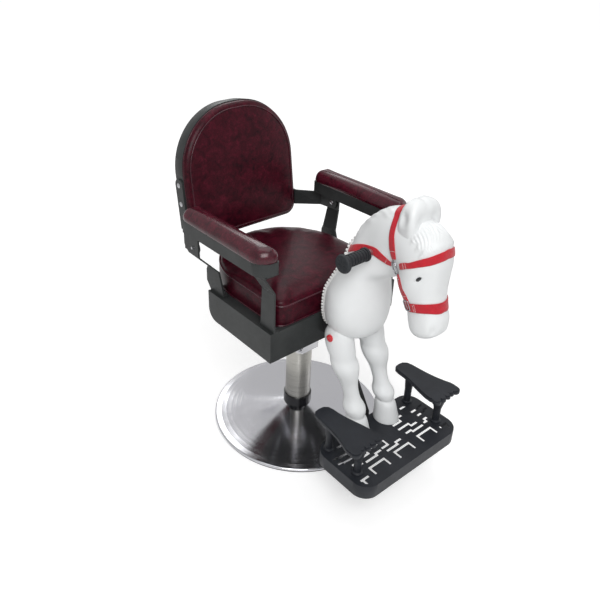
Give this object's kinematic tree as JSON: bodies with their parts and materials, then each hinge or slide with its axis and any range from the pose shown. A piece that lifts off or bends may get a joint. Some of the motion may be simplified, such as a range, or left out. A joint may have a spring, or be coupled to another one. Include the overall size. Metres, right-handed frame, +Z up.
{
  "type": "child's salon chair",
  "caption": "Height-adjustable child's barber chair on a chrome dish base, with padded seat, arms and round-topped back, a white pony figure in front, handlebar grips and a pierced footrest.",
  "frame": {"origin": "middle of the round base, on the floor", "axes": "+Z up the lift column; the sitter faces -Y, where the pony and the footrest stand; +X to the sitter's left"},
  "size_m": [0.585, 0.9002, 1.0128],
  "materials": {
    "floor_rubber": "matt black moulded rubber sheet",
    "weight_iron": "rough casting, dark",
    "chrome": "bright polished chrome plate",
    "brushed_tube": "brushed round the tube",
    "black_band": "gloss black",
    "bronze": "turned bearing bronze",
    "tread_rubber": "ribbed matt black",
    "piston_steel": "turned steel",
    "black_steel": "satin black powder coat",
    "bolt_steel": "zinc plated",
    "frame_paint": "charcoal powder coat, fine texture, satin",
    "plywood": "plain plywood, unseen",
    "seat_vinyl": "marbled burgundy vinyl, soft gloss",
    "arm_vinyl": "marbled burgundy vinyl, gloss",
    "pony_plastic": "white rotomoulded plastic, soft sheen",
    "cap_plastic": "gloss red",
    "eye_plastic": "gloss black",
    "trim_plastic": "white beading",
    "bar_steel": "drawn tube",
    "grip_rubber": "ribbed black rubber",
    "webbing": "red woven nylon webbing with white stitching",
    "ring_metal": "nickel plated wire",
    "deck_paint": "dark slate powder coat, satin"
  },
  "bodies": {
    "base": {"floor_pad": "floor_rubber", "weight_plate": "weight_iron", "base_dish": "chrome", "pump_tube": "brushed_tube", "pump_band": "black_band", "thrust_washer": "bronze"},
    "pump_head_body": {"pump_head": "chrome", "gland_bush": "bronze"},
    "lever": {"lever_shaft": "chrome", "foot_lever": "chrome", "lever_tread": "tread_rubber"},
    "seat": {"lift_rod": "chrome", "lift_piston": "piston_steel", "seat_hub": "black_steel", "mount_rails": "black_steel", "mount_bolts": "bolt_steel", "seat_box": "frame_paint", "seat_board": "plywood", "seat_cushion": "seat_vinyl", "front_post_l": "frame_paint", "front_post_r": "frame_paint", "rear_post_l": "frame_paint", "rear_post_r": "frame_paint", "arm_tray_l": "frame_paint", "arm_tray_r": "frame_paint", "arm_board_l": "plywood", "arm_board_r": "plywood", "arm_pad_l": "arm_vinyl", "arm_pad_r": "arm_vinyl", "arm_bolts": "bolt_steel", "back_bracket_l": "frame_paint", "back_bracket_r": "frame_paint", "bracket_bolts": "bolt_steel", "back_shell": "frame_paint", "back_board": "plywood", "back_pad": "seat_vinyl", "pony_bracket": "black_steel", "pony_body": "pony_plastic", "pony_leg_l": "pony_plastic", "pony_leg_r": "pony_plastic", "leg_caps": "cap_plastic", "pony_eyes": "eye_plastic", "bead_trim": "trim_plastic", "handle_bar": "bar_steel", "grip_l": "grip_rubber", "grip_r": "grip_rubber", "head_strap": "webbing", "brow_band": "webbing", "nose_band": "webbing", "cheek_straps": "webbing", "reins": "webbing", "halter_rings": "ring_metal", "footrest_strut": "black_steel", "footrest_deck": "deck_paint", "pedal_l": "deck_paint", "pedal_r": "deck_paint", "pedal_posts_l": "deck_paint", "pedal_posts_r": "deck_paint"}
  },
  "joints": [
    {"name": "head_swivel", "type": "hinge", "parent": "base", "child": "pump_head_body", "pos_m": [0, 0, 0], "axis": [0, 0, 1], "continuous": true},
    {"name": "seat_lift", "type": "slide", "parent": "pump_head_body", "child": "seat", "axis": [0, 0, 1], "range_m": [0, 0.12]},
    {"name": "lever_pump", "type": "hinge", "parent": "pump_head_body", "child": "lever", "pos_m": [0, -0.052, 0.317], "axis": [1, 0, 0], "range_deg": [-20, 0], "stiffness_Nm_per_rad": 30, "springref_deg": 11.46}
  ]
}
